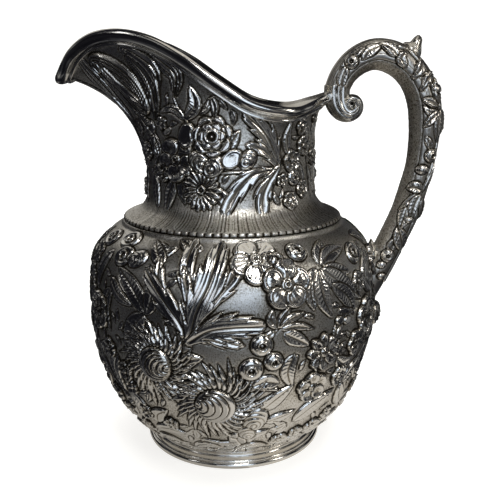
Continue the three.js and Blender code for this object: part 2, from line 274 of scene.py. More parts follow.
def grid_piece(name, points, close_rows=False, attributes=None):
    """A closed mesh from a grid whose columns wrap. Open rows are capped at both ends."""
    rows, columns = points.shape[:2]
    index = np.arange(rows * columns).reshape(rows, columns)
    here = index if close_rows else index[:-1]
    above = np.roll(index, -1, 0) if close_rows else index[1:]
    quads = np.stack([here, np.roll(here, -1, 1), np.roll(above, -1, 1), above], -1).reshape(-1, 4)
    flat = place(points.reshape(-1, 3))
    corners = flat[quads]
    volume = np.einsum("ij,ij->", corners[:, 0], np.cross(corners[:, 1], corners[:, 2]))
    volume += np.einsum("ij,ij->", corners[:, 0], np.cross(corners[:, 2], corners[:, 3]))
    loops = [quads.ravel()]
    starts = np.arange(len(quads)) * 4
    if not close_rows:
        loops += [index[0][::-1], index[-1]]
        starts = np.append(starts, [len(quads) * 4, len(quads) * 4 + columns])
    loops = np.concatenate(loops)
    mesh = bpy.data.meshes.new(name)
    mesh.vertices.add(len(flat))
    mesh.vertices.foreach_set("co", flat.ravel())
    mesh.loops.add(len(loops))
    mesh.loops.foreach_set("vertex_index", loops.astype(np.int32))
    mesh.polygons.add(len(starts))
    mesh.polygons.foreach_set("loop_start", starts.astype(np.int32))
    mesh.update(calc_edges=True)
    for key, values in (attributes or {}).items():
        layer = mesh.attributes.new(key, "FLOAT", "POINT")
        layer.data.foreach_set("value", values.ravel().astype(np.float32))
    if volume < 0:
        mesh.flip_normals()
    mesh.shade_smooth()
    return new_object(name, mesh)


def chased_piece(name, parts, axis=0, close_rows=False):
    """One piece from (points, patina, ground) grids laid side by side along an axis."""
    fields = {}
    for key, values in (("patina", 1), ("ground", 2)):
        spread = [np.broadcast_to(part[values], part[0].shape[:2]) for part in parts]
        fields[key] = np.concatenate(spread, axis)
    return grid_piece(name, np.concatenate([part[0] for part in parts], axis), close_rows, fields)


def blur(field, reach):
    """Twice the mean over a square of cells; the columns wrap."""
    for _ in range(2):
        for axis in (0, 1):
            pad = [(reach, reach) if axis == a else (0, 0) for a in (0, 1)]
            padded = np.pad(field, pad, mode="wrap" if axis == 1 else "edge")
            total = np.cumsum(padded, axis=axis)
            total = np.concatenate([np.zeros_like(np.take(total, [0], axis)), total], axis)
            size = field.shape[axis]
            upper = np.take(total, np.arange(size) + 2 * reach + 1, axis)
            field = (upper - np.take(total, np.arange(size), axis)) / (2 * reach + 1)
    return field


# Chasing: raised forms drawn on a grid as a height off the ground

class Sheet:
    """A grid of surface points with two labels for finding places, and what is chased on it.
    copy is a sign and a shift for each label, which turn or mirror the places asked for."""

    def __init__(self, points, normals, labels, degrees):
        self.points = points
        self.normals = normals
        self.labels = labels
        self.degrees = degrees
        self.copy = ((1, 0), (1, 0))
        self.shape = points.shape[:2]
        self.height = np.zeros(self.shape[0] * self.shape[1])
        self.ground = np.ones(len(self.height))
        self.swelling = np.zeros(self.shape)

    def window(self, row, column, up, across):
        """Row and column numbers of the cells within some steps of one."""
        rows = np.arange(max(row - up, 0), min(row + up + 1, self.shape[0]))[:, None]
        across = min(across, self.shape[1] // 2 - 1)
        return rows, np.arange(column - across, column + across + 1)[None] % self.shape[1]

    def miss(self, where, rows, columns):
        """How far the labels of some cells are from a place's."""
        total = 0
        for label, value, (sign, shift), turning in zip(self.labels, where, self.copy, self.degrees):
            gap = label[rows, columns] - (sign * value + shift)
            total = total + (((gap + 180) % 360 - 180) if turning else gap) ** 2
        return total

    def find(self, where, step=6):
        """Row and column of the cell nearest to a place."""
        coarse = self.miss(where, slice(None, None, step), slice(None, None, step))
        row, column = np.unravel_index(np.argmin(coarse), coarse.shape)
        rows, columns = self.window(row * step, column * step, step, step)
        fine = self.miss(where, rows, columns)
        best_row, best_column = np.unravel_index(np.argmin(fine), fine.shape)
        return int(rows[best_row, 0]), int(columns[0, best_column])

    def anchor(self, where, reach):
        """A flat drawing board that touches the sheet at a place."""
        return Board(self, *self.find(where), reach)

    def trace(self, line):
        """A board for a line of places, and the line on it."""
        board = self.anchor(line[len(line) // 2], DRAWING_REACH)
        return board, [board.flat(where) for where in line]

    def relief(self):
        """Height of the chasing off the ground."""
        return self.height.reshape(self.shape)

    def bare(self):
        """1 where nothing is chased on the ground, 0 elsewhere."""
        return self.ground.reshape(self.shape)

    def swell(self, where, reach, height):
        """Pushes the ground out round a place."""
        offset = self.points - self.points[self.find(where)]
        self.swelling += height * np.exp(-np.einsum("ijk,ijk->ij", offset, offset) / reach ** 2)


class Board:
    """The part of a sheet within reach of a cell, with flat x (right) and y (up) in millimetres."""

    def __init__(self, sheet, row, column, reach):
        self.sheet = sheet
        self.origin = sheet.points[row, column]
        normal = sheet.normals[row, column]
        up = np.array([0, 0, 1.0]) if abs(normal[2]) < 0.95 else np.array([1.0, 0, 0])
        self.right = unit(np.cross(up, normal))
        self.up = np.cross(normal, self.right)
        climb = np.linalg.norm(sheet.points[row - 1 if row else 1, column] - self.origin)
        stride = np.linalg.norm(sheet.points[row, column - 1] - self.origin)
        reach_up, reach_across = int(1.4 * reach / climb) + 2, int(1.5 * reach / stride) + 2
        rows, columns = sheet.window(row, column, reach_up, reach_across)
        offset = sheet.points[rows, columns] - self.origin
        near = np.einsum("ijk,ijk->ij", offset, offset) < reach ** 2
        near &= sheet.normals[rows, columns] @ normal > 0.2
        self.index = (rows * sheet.shape[1] + columns)[near]
        self.x = offset[near] @ self.right
        self.y = offset[near] @ self.up

    def flat(self, where):
        """A place's position on the board."""
        offset = self.sheet.points[self.sheet.find(where)] - self.origin
        return offset @ self.right, offset @ self.up

    def near(self, centre, reach):
        """The cells round a point, and their offsets from it."""
        dx, dy = self.x - centre[0], self.y - centre[1]
        chosen = np.nonzero(np.hypot(dx, dy) < reach)[0]
        return chosen, dx[chosen], dy[chosen]

    def lay(self, inside, height, chosen=slice(None)):
        """Raises the form where inside, a depth from its edge, is positive, and sinks a line round it."""
        index = self.index[chosen]
        old = self.sheet.height[index]
        groove = GROOVE_DEPTH * bell(inside, GROOVE_WIDTH)
        covered = inside > 0
        self.sheet.height[index] = np.where(covered, height, old - groove * (old > -GROOVE_DEPTH))
        self.sheet.ground[index] = np.where(covered, 0, self.sheet.ground[index])


def off_line(x, y, line):
    """Fraction along a line of points and signed distance off it, for every x, y."""
    start, end = line[:-1], line[1:]
    along = end - start
    length = np.maximum(np.einsum("ij,ij->i", along, along), 1e-9)
    dx = x[:, None] - start[:, 0]
    dy = y[:, None] - start[:, 1]
    t = np.clip((dx * along[:, 0] + dy * along[:, 1]) / length, 0, 1)
    gap_x, gap_y = dx - t * along[:, 0], dy - t * along[:, 1]
    distance = np.hypot(gap_x, gap_y)
    nearest = np.argmin(distance, axis=1)
    pick = np.arange(len(x))
    side = np.sign(along[nearest, 0] * gap_y[pick, nearest] - along[nearest, 1] * gap_x[pick, nearest])
    run = (nearest + t[pick, nearest]) / len(start)
    return run, distance[pick, nearest] * np.where(side == 0, 1, side)


def blade(board, knots, width, style="leaf", peak=1.3, level=0.0, teeth=4):
    """A tapering form along a curve: a veined leaf, a toothed acanthus lobe, a fringe or strap petal,
    a stem or a ringed eye."""
    line = spline(knots, steps=8)
    margin = width / 2 + 1.5
    chosen = np.nonzero(
        (board.x > line[:, 0].min() - margin) & (board.x < line[:, 0].max() + margin)
        & (board.y > line[:, 1].min() - margin) & (board.y < line[:, 1].max() + margin))[0]
    if not len(chosen):
        return
    run, off = off_line(board.x[chosen], board.y[chosen], line)
    length = run_along(line)[-1]
    spread = {
        "leaf": np.sin(np.pi * np.clip(run, 0, 1) ** 0.8) ** 0.75,
        "acanthus": (0.25 + 0.75 * smoothstep(run, 0, 0.7)) * np.clip(1 - run, 0, 1) ** 0.4 * 1.3,
        "fringe": (0.45 + 0.55 * smoothstep(run, 0, 0.5)) * (1 - run ** 2.5),
        "strap": (0.4 + 0.6 * smoothstep(run, 0, 0.6)) * np.sqrt(1 - run ** 4),
        "stem": 1 - 0.4 * run,
        "eye": np.sqrt(np.clip(1 - (2 * run - 1) ** 2, 0, 1)),
    }[style]
    half = np.maximum(width / 2 * spread, 0.05)
    tooth = (teeth * (run - TOOTH_SLANT * np.abs(off) / length) + 0.5) % 1
    notched = half * (0.6 + 0.4 * tooth ** 0.8) if style == "acanthus" else half
    inside = notched - np.abs(off)
    aside = np.clip(off / half, -1, 1)
    across = np.abs(aside)
    if style == "leaf":
        rise = 0.55 + 0.4 * across ** 1.5 + 0.35 * aside - 0.25 * bell(off, 0.45)
        rise += 0.07 * np.cos(2 * np.pi * (run * length / 2.1 - 0.9 * across)) * np.sin(np.pi * across)
        rise *= 0.7 + 0.45 * run
    elif style == "acanthus":
        vein = np.sin(np.pi * tooth) ** 0.8 * smoothstep(across, 0.25, 0.9)
        rise = 0.6 + 0.2 * vein + 0.3 * aside + 0.2 * across ** 2 - 0.35 * bell(off, 0.5)
        rise += 0.03 * np.cos(2 * np.pi * off / 1.7)
        rise *= 0.6 + 0.4 * run
    elif style == "fringe":
        rise = (0.5 + 0.4 * across ** 2 + 0.4 * aside) * (0.35 + 0.75 * run)
    elif style == "strap":
        rise = np.sqrt(1 - 0.8 * across ** 2) * (0.55 + 0.5 * run) - 0.3 * bell(off, 0.3)
    elif style == "eye":
        rise = 0.9 + 0.35 * np.cos(2 * np.pi * inside / 1.8)
        rise -= 1.1 * smoothstep(inside, 0.33 * width, 0.4 * width)
    else:
        rise = np.sqrt(1 - across ** 2)
    edge = 0.15 + 0.85 * smoothstep(inside, 0, 0.8)
    board.lay(inside, level + peak * rise * edge, chosen)


def blob(board, centre, size, turn=0.0, hollow=0.0, peak=1.2, level=0.0, lines=0.0, tilt=0.0,
         rim=0.0):
    """An oval form: size is its two half widths. hollow sinks its middle, rim raises its edge, lines
    ring it, and tilt lets it rise along its length."""
    chosen, dx, dy = board.near(centre, max(size) + 1.5)
    if not len(chosen):
        return
    u = dx * np.cos(turn) + dy * np.sin(turn)
    v = dy * np.cos(turn) - dx * np.sin(turn)
    q = np.hypot(u / size[0], v / size[1])
    inside = (1 - q) * min(size)
    rise = np.clip(1 - q ** 2, 0, 1) ** 0.6
    rise -= hollow * (1 - smoothstep(q, 0.1, 0.85))
    rise += rim * bell(q - 0.84, 0.13)
    rise *= 1 + tilt * u / size[0]
    if lines:
        focus = np.hypot(u + size[0] * 0.35, v * 1.2)
        rise += 0.14 * np.sin(2 * np.pi * focus / lines) * smoothstep(inside, 0.2, 1)
    board.lay(inside, level + peak * rise, chosen)


def ring(board, radius, depth, level):
    """A turned-over rim around a hole, with a seed in it."""
    chosen, dx, dy = board.near((0, 0), 1.3 * radius)
    q = np.hypot(dx, dy) / radius
    rim = 0.5 * bell(q - 0.78, 0.2)
    hole = depth * (1 - smoothstep(q, 0.45, 0.7)) * (1 - 0.55 * bell(q, 0.22))
    board.lay((1 - q) * radius, level + rim - hole, chosen)


def score(board, knots, depth, width=0.35):
    """A fine line cut into whatever is there."""
    line = np.asarray(knots, float)
    chosen, _, _ = board.near(line.mean(0), run_along(line)[-1])
    if len(chosen):
        _, off = off_line(board.x[chosen], board.y[chosen], line)
        board.sheet.height[board.index[chosen]] -= depth * bell(off, width)


def flower(sheet, where, size, petals=5, turn=0.0, hollow=0.6, peak=1.9, level=0.2, rim=0.4):
    """Cupped petals with turned-over edges round a boss."""
    board = sheet.anchor(where, size + 3)
    reach = 0.6 * size
    breadth = min(0.5 * size, reach * math.tan(math.pi / petals) * 1.15)
    for k, angle in enumerate(turns(petals, turn)):
        blob(board, polar(reach, angle), (0.44 * size, breadth), angle, hollow, peak,
             level + 0.2 * (k % 2), tilt=0.3, rim=rim)
        for crease in (-0.25, 0, 0.25):
            tip = polar(0.8 * size, angle + crease)
            score(board, [(0.35 * tip[0], 0.35 * tip[1]), tip], 0.13)
    boss = 0.26 * size
    blob(board, (0, 0), (boss, boss), 0, 0.0, peak * 0.75, level + 0.5, rim=0.3)
    if size > 6:
        ring(board, 0.55 * boss, 0.7, level + peak)


def daisy(sheet, where, size, petals=20, level=0.3, peak=1.3):
    """Narrow petals side by side round a small ring."""
    board = sheet.anchor(where, size + 3)
    for k, angle in enumerate(turns(petals)):
        end = size * (0.94 + 0.06 * math.cos(3 * k))
        line = [polar(radius, angle) for radius in (0.16 * size, 0.55 * size, end)]
        blade(board, line, 2 * math.pi * size / petals * 0.95, "strap", peak, level)
    ring(board, 0.2 * size, 0.9, level + peak * 0.75)


def peony(sheet, where, size, facing, level=0.2):
    """Two rows of fringed petals round a globe of nested shells that opens towards facing."""
    board = sheet.anchor(where, size * 1.6)
    toward = np.array(polar(1, facing))
    for petals, end, lift, breadth in ((37, 1.42, 0.0, 0.165), (31, 1.08, 0.7, 0.15)):
        for k in range(petals):
            angle = 2 * math.pi * (k + 0.5 * lift) / petals
            reach = end * (0.93 + 0.09 * math.sin(2.3 * k)) * (1 - 0.1 * math.cos(angle - facing))
            bends = ((0.45, 0), (0.5 * (0.45 + reach), 0.1), (reach, 0.3))
            line = [polar(size * radius, angle + swirl) for radius, swirl in bends]
            blade(board, line, breadth * size, "fringe", 2.3, level + lift)
    globe = 0.55 * size
    chosen, dx, dy = board.near((0, 0), 1.25 * globe)
    q = np.hypot(dx, dy) / globe
    ridges, grooves = np.zeros(len(q)), np.zeros(len(q))
    for k in range(6):
        radius = globe * (1 - 0.16 * k)
        middle = toward * (globe - radius)
        inside = radius - np.hypot(dx - middle[0], dy - middle[1])
        ridges = np.maximum(ridges, bell(inside - 0.75, 0.45))
        grooves = np.maximum(grooves, bell(inside, 0.32))
    height = level + 0.6 + 3.8 * np.sqrt(np.clip(1 - q ** 2, 0, 1)) + 0.4 * ridges - 0.8 * grooves
    board.lay((1 - q) * globe, height, chosen)


def ring_bud(sheet, where, size, peak=2.6):
    """A round bud with a ringed hole in the middle."""
    board = sheet.anchor(where, size + 2)
    blob(board, (0, 0), (size, size), 0, 0.0, peak, 0.1)
    ring(board, 0.5 * size, 1.6, peak * 0.9)


def rose(sheet, where, size):
    """A standing rose: a globe of overlapping petals round an open, scalloped cup."""
    board = sheet.anchor(where, size + 3)
    for angle in turns(7, 0.3):
        blob(board, polar(0.64 * size, angle), (0.4 * size, 0.4 * size), angle, 0.25, 2.0, 0.3, rim=0.25)
    blob(board, (0, 0), (0.72 * size, 0.72 * size), 0, 0.0, 2.0, 1.0, 2.4)
    for angle in turns(6):
        blob(board, polar(0.42 * size, angle), (0.25 * size, 0.25 * size), angle, 0.2, 1.1, 2.2, rim=0.3)
    ring(board, 0.38 * size, 2.4, 2.9)


def leaf(sheet, line, width, style="leaf", peak=1.3, teeth=4):
    """A blade through places on the sheet."""
    board, knots = sheet.trace(line)
    blade(board, knots, width, style, peak, teeth=teeth)


def spray(sheet, items, peak=1.3, style="leaf"):
    """Blades from (width, places along it) items."""
    for width, *line in items:
        leaf(sheet, line, width, style, peak)


def acanthus(sheet, lobes):
    """Toothed lobes from (width, teeth, peak, places along it) items."""
    for width, teeth, peak, *line in lobes:
        leaf(sheet, line, width, "acanthus", peak, teeth)


def husk(sheet, line, width, strands=3, peak=1.6):
    """Narrow strands side by side that run together at both ends."""
    board, knots = sheet.trace(line)
    middle = resample(spline(knots), 9)
    along = unit(np.gradient(middle, axis=0))
    aside = np.stack([-along[:, 1], along[:, 0]], -1)
    spread = np.sin(np.pi * np.linspace(0.12, 0.9, len(middle)))[:, None]
    for k in range(strands):
        offset = (k - (strands - 1) / 2) * width / strands
        strand = middle + aside * spread * offset
        blade(board, strand, 1.25 * width / strands, "fringe", peak, 0.3 * (k % 2))


def bud(sheet, where, size, turn=0.0, **shape):
    """A plain oval bud. size is its half length."""
    board = sheet.anchor(where, size + 3)
    blob(board, (0, 0), (size, size * 0.72), turn, **shape)


def fill_gaps(sheet, span, quiet, sizes, seed):
    """Sprays of leaves, buds and blossoms wherever the ground is still open, the biggest first.
    span is the first and last share of the rows; quiet places are (angle, height, reach, reach)."""
    chance = np.random.default_rng(seed)
    for size, tries in sizes:
        for _ in range(tries):
            row = int(chance.uniform(*span) * sheet.shape[0])
            column = int(chance.integers(sheet.shape[1]))
            lean, kind = chance.uniform(0, 2 * math.pi), chance.random()
            angle, height = (label[row, column] for label in sheet.labels)
            if any(abs((angle - a + 180) % 360 - 180) < wide and abs(height - h) < tall
                   for a, h, wide, tall in quiet):
                continue
            board = Board(sheet, row, column, 1.7 * size + 1)
            middle = sheet.ground[board.index[np.hypot(board.x, board.y) < size]]
            if not len(middle) or middle.mean() < 0.97:
                continue
            if kind < 0.2 and size > 3:
                for petal in turns(5, lean):
                    blob(board, polar(0.55 * size, petal), (0.45 * size, 0.38 * size), petal,
                         0.35, 1.4, 0.1, tilt=0.2, rim=0.3)
                blob(board, (0, 0), (0.24 * size, 0.24 * size), 0, 0.3, 1.2, 0.6)
                continue
            base = -0.95 * size * np.array(polar(1, lean))
            for turn in (-0.75, 0.75, 0.0) if size > 4 else (0.0,):
                ahead = np.array(polar(1, lean + turn))
                aside = np.array([-ahead[1], ahead[0]]) * 0.2 * size
                path = [base, base + ahead * size + aside, base + 2 * ahead * size]
                blade(board, path, (0.85 if turn == 0 else 0.65) * size, "leaf", 1.2)


def edge_fade(rows, reach):
    """1 for most rows of a sheet, falling to 0 over its first and last few."""
    row = np.arange(rows)
    return smoothstep(np.minimum(row, rows - 1 - row) / reach)[:, None]


def patina(sheet):
    """How deep each point lies among its neighbours, 0 on the peaks and 1 in the recesses."""
    height = sheet.relief()
    near = blur(height, 1) - height
    wide = blur(height, 4) - height
    return np.clip(PATINA_NEAR * near + PATINA_WIDE * wide + PATINA_LEAST, 0, 1)


# What is chased on each piece

def chase_body(sheet):
    """One half of the body, -180 to 0 degrees."""
    swellings = [
        (-116, 70, 17, 1.0), (-95, 50, 18, 1.0), (-103, 96, 16, 0.8), (-75, 116, 16, 1.0),
        (-56, 68, 16, 0.9), (-178, 110, 13, 1.1), (-178, 68, 13, 1.3), (-150, 70, 14, 0.8),
    ]
    for angle, height, reach, rise in swellings:
        sheet.swell((angle, height), reach, rise)
    spray(sheet, [
        (2.2, (-84, 116), (-92, 111), (-100, 98)), (2.0, (-78, 84), (-76, 86), (-73, 90)),
        (4.5, (-84, 59), (-79, 59), (-73, 57.5)), (2.0, (-66, 74), (-67, 66), (-68, 55)),
        (2.0, (-137, 114), (-134, 106), (-124, 96)), (2.0, (-58, 66), (-57, 60), (-52, 48)),
        (2.0, (-150, 60), (-146, 50), (-138, 42)), (2.0, (-20, 96), (-22, 80), (-18, 62)),
        (2.0, (-166, 112), (-168, 98), (-160, 84)),
    ], 1.0, "stem")
    # leaves behind the flowers
    spray(sheet, [
        (10, (-120, 94), (-127, 105), (-137, 114)), (9, (-120, 94), (-118, 106), (-122, 118)),
        (11, (-121, 94), (-127, 85), (-131, 72)), (8, (-122, 127), (-118, 124), (-112, 126)),
        (8, (-116, 119), (-120, 123), (-125, 128)), (8, (-141, 108), (-135, 101), (-127, 97)),
        (9, (-54, 117), (-51, 122), (-46, 127)), (9, (-53, 117), (-46, 121), (-36, 122)),
        (8, (-53, 115), (-46, 113), (-38, 110)), (9, (-56, 116), (-60, 107), (-59, 96)),
        (10, (-55, 115), (-55, 103), (-51, 90)), (11, (-54, 115), (-45, 106), (-32, 94)),
        (9, (-50, 107), (-42, 98), (-38, 88)), (5, (-73, 90), (-75.5, 94), (-75, 99.5)),
        (5, (-73, 90), (-71, 95.5), (-68, 101)), (5, (-72.5, 90), (-68, 94), (-62.5, 96)),
        (4.5, (-72, 89), (-66, 89.5), (-59, 87)), (8, (-71, 87), (-67, 84), (-61, 79)),
        (4, (-74, 88.5), (-77, 86), (-79, 85)), (8, (-67, 76), (-69, 67), (-67, 57)),
        (9, (-78, 45), (-73, 51), (-66, 59)), (7, (-76, 37), (-70, 39), (-63, 42)),
        (11, (-63, 34), (-55, 41), (-44, 48)), (10, (-33, 34), (-38, 42), (-40, 51)),
        (10, (-39, 49), (-33, 55), (-27, 60)), (9, (-85, 19), (-82, 27), (-73, 31)),
        (9, (-84, 19), (-87, 27), (-82, 34)), (8, (-104, 24), (-97, 21), (-88, 23)),
        (9, (-124, 31), (-122, 37), (-116, 42)), (8, (-127, 25), (-119, 28), (-109, 27)),
        (10, (-140, 102), (-144, 92), (-140, 80)), (9, (-146, 120), (-151, 110), (-151, 100)),
        (10, (-137, 68), (-142, 57), (-138, 45)), (9, (-134, 47), (-130, 38), (-133, 29)),
        (10, (-152, 80), (-159, 68), (-160, 54)), (10, (-152, 53), (-158, 44), (-160, 31)),
        (9, (-168, 83), (-175, 72), (-176, 60)), (10, (-170, 127), (-175, 116), (-173, 103)),
        (9, (-150, 26), (-158, 23), (-166, 27)), (9, (-176, 49), (-171, 38), (-174, 27)),
        (10, (-20, 95), (-27, 104), (-24, 115)), (9, (-19, 63), (-12, 56), (-11, 45)),
        (10, (-19, 63), (-27, 56), (-27, 45)), (9, (-12, 36), (-20, 30), (-30, 31)),
        (9, (-8, 115), (-12, 122), (-21, 125)), (8, (-42, 23), (-35, 26), (-28, 25)),
        (8, (-47, 67), (-42, 62), (-36, 63)), (7, (-48, 93), (-44, 90), (-39, 91)),
        (8, (-101, 126), (-107, 127), (-113, 129)), (8, (-107, 71), (-104, 74), (-99, 76)),
        (8, (-72, 61), (-77, 62), (-83, 60)),
    ])
    # a wreath round the bottom
    for k in range(8):
        start = 22 * k - 176
        leaf(sheet, [(start, 14), (start + 8, 19), (start + 17, 16.5)], 8)
    # the great acanthus leaf
    acanthus(sheet, [
        (11, 3, 2.2, (-104, 84), (-108, 96), (-115, 107), (-118, 122)),
        (11, 3, 2.2, (-102, 90), (-96, 103), (-90, 112), (-86, 119)),
        (12, 3, 2.2, (-104, 86), (-103, 104), (-106, 118), (-105, 131)),
        (9, 3, 2.2, (-102, 84.5), (-97, 85.5), (-91, 84.5), (-85, 82)),
        (15, 4, 2.2, (-104, 84), (-107, 93), (-112, 101), (-123, 116)),
        (9, 3, 2.2, (-103, 86), (-103, 99), (-107, 119)),
        (21, 4, 2.2, (-103.5, 84), (-101, 98), (-97, 112), (-93, 129)),
        (19, 5, 2.2, (-103.5, 84), (-97, 89.5), (-89, 91.5), (-77.5, 91.5)),
    ])
    peony(sheet, (-116.5, 70), 17, 0.0)
    peony(sheet, (-95.5, 50), 18.5, 2.9)
    flower(sheet, (-80, 122), 12, turn=0.9, hollow=0.35, peak=1.4)
    ring_bud(sheet, (-72, 121.5), 4)
    flower(sheet, (-69.5, 110.5), 12, turn=0.3, level=0.5, hollow=0.0)
    for where, size in [((-62, 124), 5.6), ((-79, 82), 5.6), ((-74.5, 73), 4.8), ((-82.5, 69.5), 6)]:
        ring_bud(sheet, where, size)
    for where, size in [((-68, 119.5), 3.6), ((-47, 88), 3), ((-43, 86.5), 3)]:
        bud(sheet, where, size, peak=1.6, rim=0.3, hollow=0.3)
    flower(sheet, (-55, 74), 9.5, petals=8, hollow=0.5)
    flower(sheet, (-58, 55), 8.5, turn=0.5)
    flower(sheet, (-28, 84), 10, turn=0.4)
    bud(sheet, (-80, 39), 8.5, 1.2, peak=2.0, lines=2.4)
    bud(sheet, (-83, 30.5), 6, 2.0, peak=1.6, lines=2.0)
    for where, size in [((-31, 118), 7), ((-140, 126), 7), ((-137, 119), 7), ((-156, 124), 7)]:
        board = sheet.anchor(where, size + 2)
        blob(board, (0, 0), (size, size * 0.8), 0.4, 0.7, 1.7, rim=0.3)
        ring(board, 0.42 * size, 0.8, 1.3)
    bud(sheet, (-129, 119.5), 6.5, 0.5, peak=1.6, lines=2.2)
    small = [
        ((-67, 22), 5), ((-50, 26), 5.4), ((-59, 25.5), 4), ((-128, 37), 4.6), ((-134, 59.5), 5.4),
        ((-132, 51), 4.2), ((-116, 33), 4.2), ((-36, 72), 7), ((-44, 56), 5.6), ((-22, 40), 5.6),
        ((-148, 40), 5.6), ((-142, 70), 5.4), ((-165, 38), 6), ((-15, 24), 5.4), ((-34, 104), 5.6),
    ]
    for where, size in small:
        flower(sheet, where, size, turn=size, peak=1.5)
    daisy(sheet, (-162, 98), 12)
    flower(sheet, (-148, 88), 10, turn=0.7)
    flower(sheet, (-172, 50), 10, turn=0.2)
    peony(sheet, (-12, 78), 13, 0.9)
    flower(sheet, (-9, 108), 9, turn=0.6)


def chase_neck(sheet, side):
    """One side of the neck, -180 to 0 degrees. side is 1, or -1 for its mirror image."""
    # flowing husks down the spout
    leaf(sheet, [(-165, 215), (-158, 202), (-147, 187)], 19, "eye", 1.5)
    for width, strands, *line in [
        (9, 3, (-179, 206), (-178, 190), (-179, 172), (-177, 158)),
        (8, 3, (-168, 215), (-170, 203), (-172, 192), (-169, 178)),
        (9, 4, (-138, 216), (-131, 211), (-125, 206), (-126, 196)),
        (9, 3, (-152, 219), (-145, 213), (-138, 207), (-137, 199)),
        (10, 4, (-150, 215), (-144, 206), (-141, 197), (-142, 184)),
        (9, 4, (-166, 206), (-164, 196), (-157, 186), (-145, 177)),
        (8, 3, (-159, 185), (-151, 178), (-143, 170), (-142, 161)),
    ]:
        husk(sheet, line, width, strands)
    spray(sheet, [
        (1.8, (-112, 179), (-119, 185), (-123, 188), (-127, 195)),
        (2.0, (-58, 161), (-76, 160), (-97, 159)),
    ], 0.9, "stem")
    spray(sheet, [
        (7, (-119, 185), (-113, 192), (-116, 201)), (4, (-119, 185), (-128, 190), (-139, 188)),
        (8, (-127, 155), (-132, 146), (-134, 137)), (8, (-148, 157), (-146, 148), (-142, 139)),
        (7, (-147, 179), (-148, 172), (-145, 165)), (8, (-160, 161), (-164, 150), (-160, 140)),
        (6, (-92, 169), (-88, 175), (-84, 180)), (6, (-50, 167), (-52, 175), (-50, 184)),
        (7, (-30, 181), (-26, 171), (-28, 161)), (7, (-28, 161), (-22, 154), (-24, 143)),
        (7, (-12, 184), (-17, 176), (-12, 166)), (7, (-12, 165), (-17, 154), (-12, 142)),
        (6, (-40, 163), (-37, 155), (-41, 147)), (8, (-117, 160), (-121, 152), (-119, 143)),
        (7, (-98, 151), (-93, 146), (-86, 144)),
    ])
    acanthus(sheet, [
        (14, 5, 1.8, (-58, 161), (-61, 169), (-68, 178), (-82, 188)),
        (8, 3, 1.6, (-59, 162), (-69, 170), (-80, 173)),
        (12, 4, 1.8, (-60, 160), (-75, 158), (-85, 151), (-95, 137)),
        (12, 3, 2.0, (-58, 161), (-65, 154), (-69, 147), (-70, 137)),
    ])
    flower(sheet, (-125, 165), 11, turn=0.9, level=0.3)
    bud(sheet, (-118, 177), 6.5, 1.4, hollow=0.4, peak=1.9, level=0.2, rim=0.3)
    daisy(sheet, (-108, 150.5), 11, 18)
    for where, turn in [((-109, 164.5), 2.4), ((-100, 162.5), 0.8)]:
        bud(sheet, where, 6.4, side * turn, hollow=0.1, peak=2.0, level=0.4, rim=0.2, lines=2.6)
    rose(sheet, (-101, 177), 10)
    bud(sheet, (-89, 166), 6, 0.6, hollow=0.5, peak=1.6, rim=0.3)
    bud(sheet, (-79, 166), 5.5, 0.9, peak=1.7, lines=2.0)
    ring_bud(sheet, (-148, 180), 4, 1.6)
    blossoms = [
        ((-47, 164), 5.6), ((-49, 144), 4.6), ((-35, 171), 5.2), ((-36, 149), 4.6), ((-138, 158), 5.2),
        ((-20, 165), 5.2), ((-154, 168), 4.6), ((-38, 181), 4.4), ((-170, 148), 5), ((-18, 186), 4),
    ]
    for where, size in blossoms:
        flower(sheet, where, size, turn=size, peak=1.5)
    ring_bud(sheet, (-44, 155.5), 4.4, 1.8)
    ring_bud(sheet, (-4, 154), 3.8, 1.6)


# The body

def upright_sheet(wall):
    """A sheet around the axis, whose places are (degrees around the axis, height)."""
    angle = np.degrees(np.arctan2(wall[..., 1], wall[..., 0]))
    return Sheet(wall, grid_normals(wall), (angle, wall[..., 2]), (True, False))


def body_piece():
    rows, columns = BODY_GRID
    outline = spline(BODY_OUTLINE)
    sheet = upright_sheet(lathe(resample(outline, rows), columns))
    quiet = []
    for shift in (0, 180):
        sheet.copy = ((1, shift), (1, 0))
        chase_body(sheet)
        quiet += [(-87 + shift, 107, 10, 14), (-91 + shift, 82, 8, 10), (-66 + shift, 46, 5, 6)]
    fill_gaps(sheet, (0.03, 0.9), quiet, BODY_FILLING, seed=4)
    sheet.height *= np.repeat(edge_fade(rows, 5), columns)
    lift = sheet.relief() + (sheet.swelling - GROUND_DEPTH) * edge_fade(rows, 6)
    raised = sheet.points + sheet.normals * lift[..., None]
    inner = resample(outline, BODY_SHELL_ROWS)[::-1]
    slope = unit(np.gradient(inner, axis=0))
    inner = inner + SHELL * np.stack([slope[:, 1], -slope[:, 0]], -1)
    dome = spline(BOTTOM_DOME, steps=4)
    inside = lathe(np.vstack([inner, dome[::-1] + (0, WALL)]), columns)
    return chased_piece("body_chased", [
        (lathe(dome, columns), BODY_DULL, 0.0),
        (raised, patina(sheet), sheet.bare()),
        (inside, BODY_DULL, 0.0),
    ])


def body_radius(height):
    """Outside radius of the smooth body at a height."""
    outline = spline(BODY_OUTLINE)
    return np.interp(height, outline[:, 1], outline[:, 0], left=0, right=0)


# The neck

def lip_places(columns):
    """x, y, z and rise around the closed lip line, evenly spaced from the handle."""
    other_side = [(x, -y, z, rise) for x, y, z, rise in LIP[-2:0:-1]]
    knots = np.array(LIP + other_side, float)
    line = spline(knots[:, :3], closed=True)
    number = np.linspace(0, len(knots), len(line))
    rise = np.interp(number, np.arange(len(knots) + 1), np.append(knots[:, 3], knots[0, 3]))
    return resample(np.column_stack([line, rise]), columns, dims=3, closed=True)


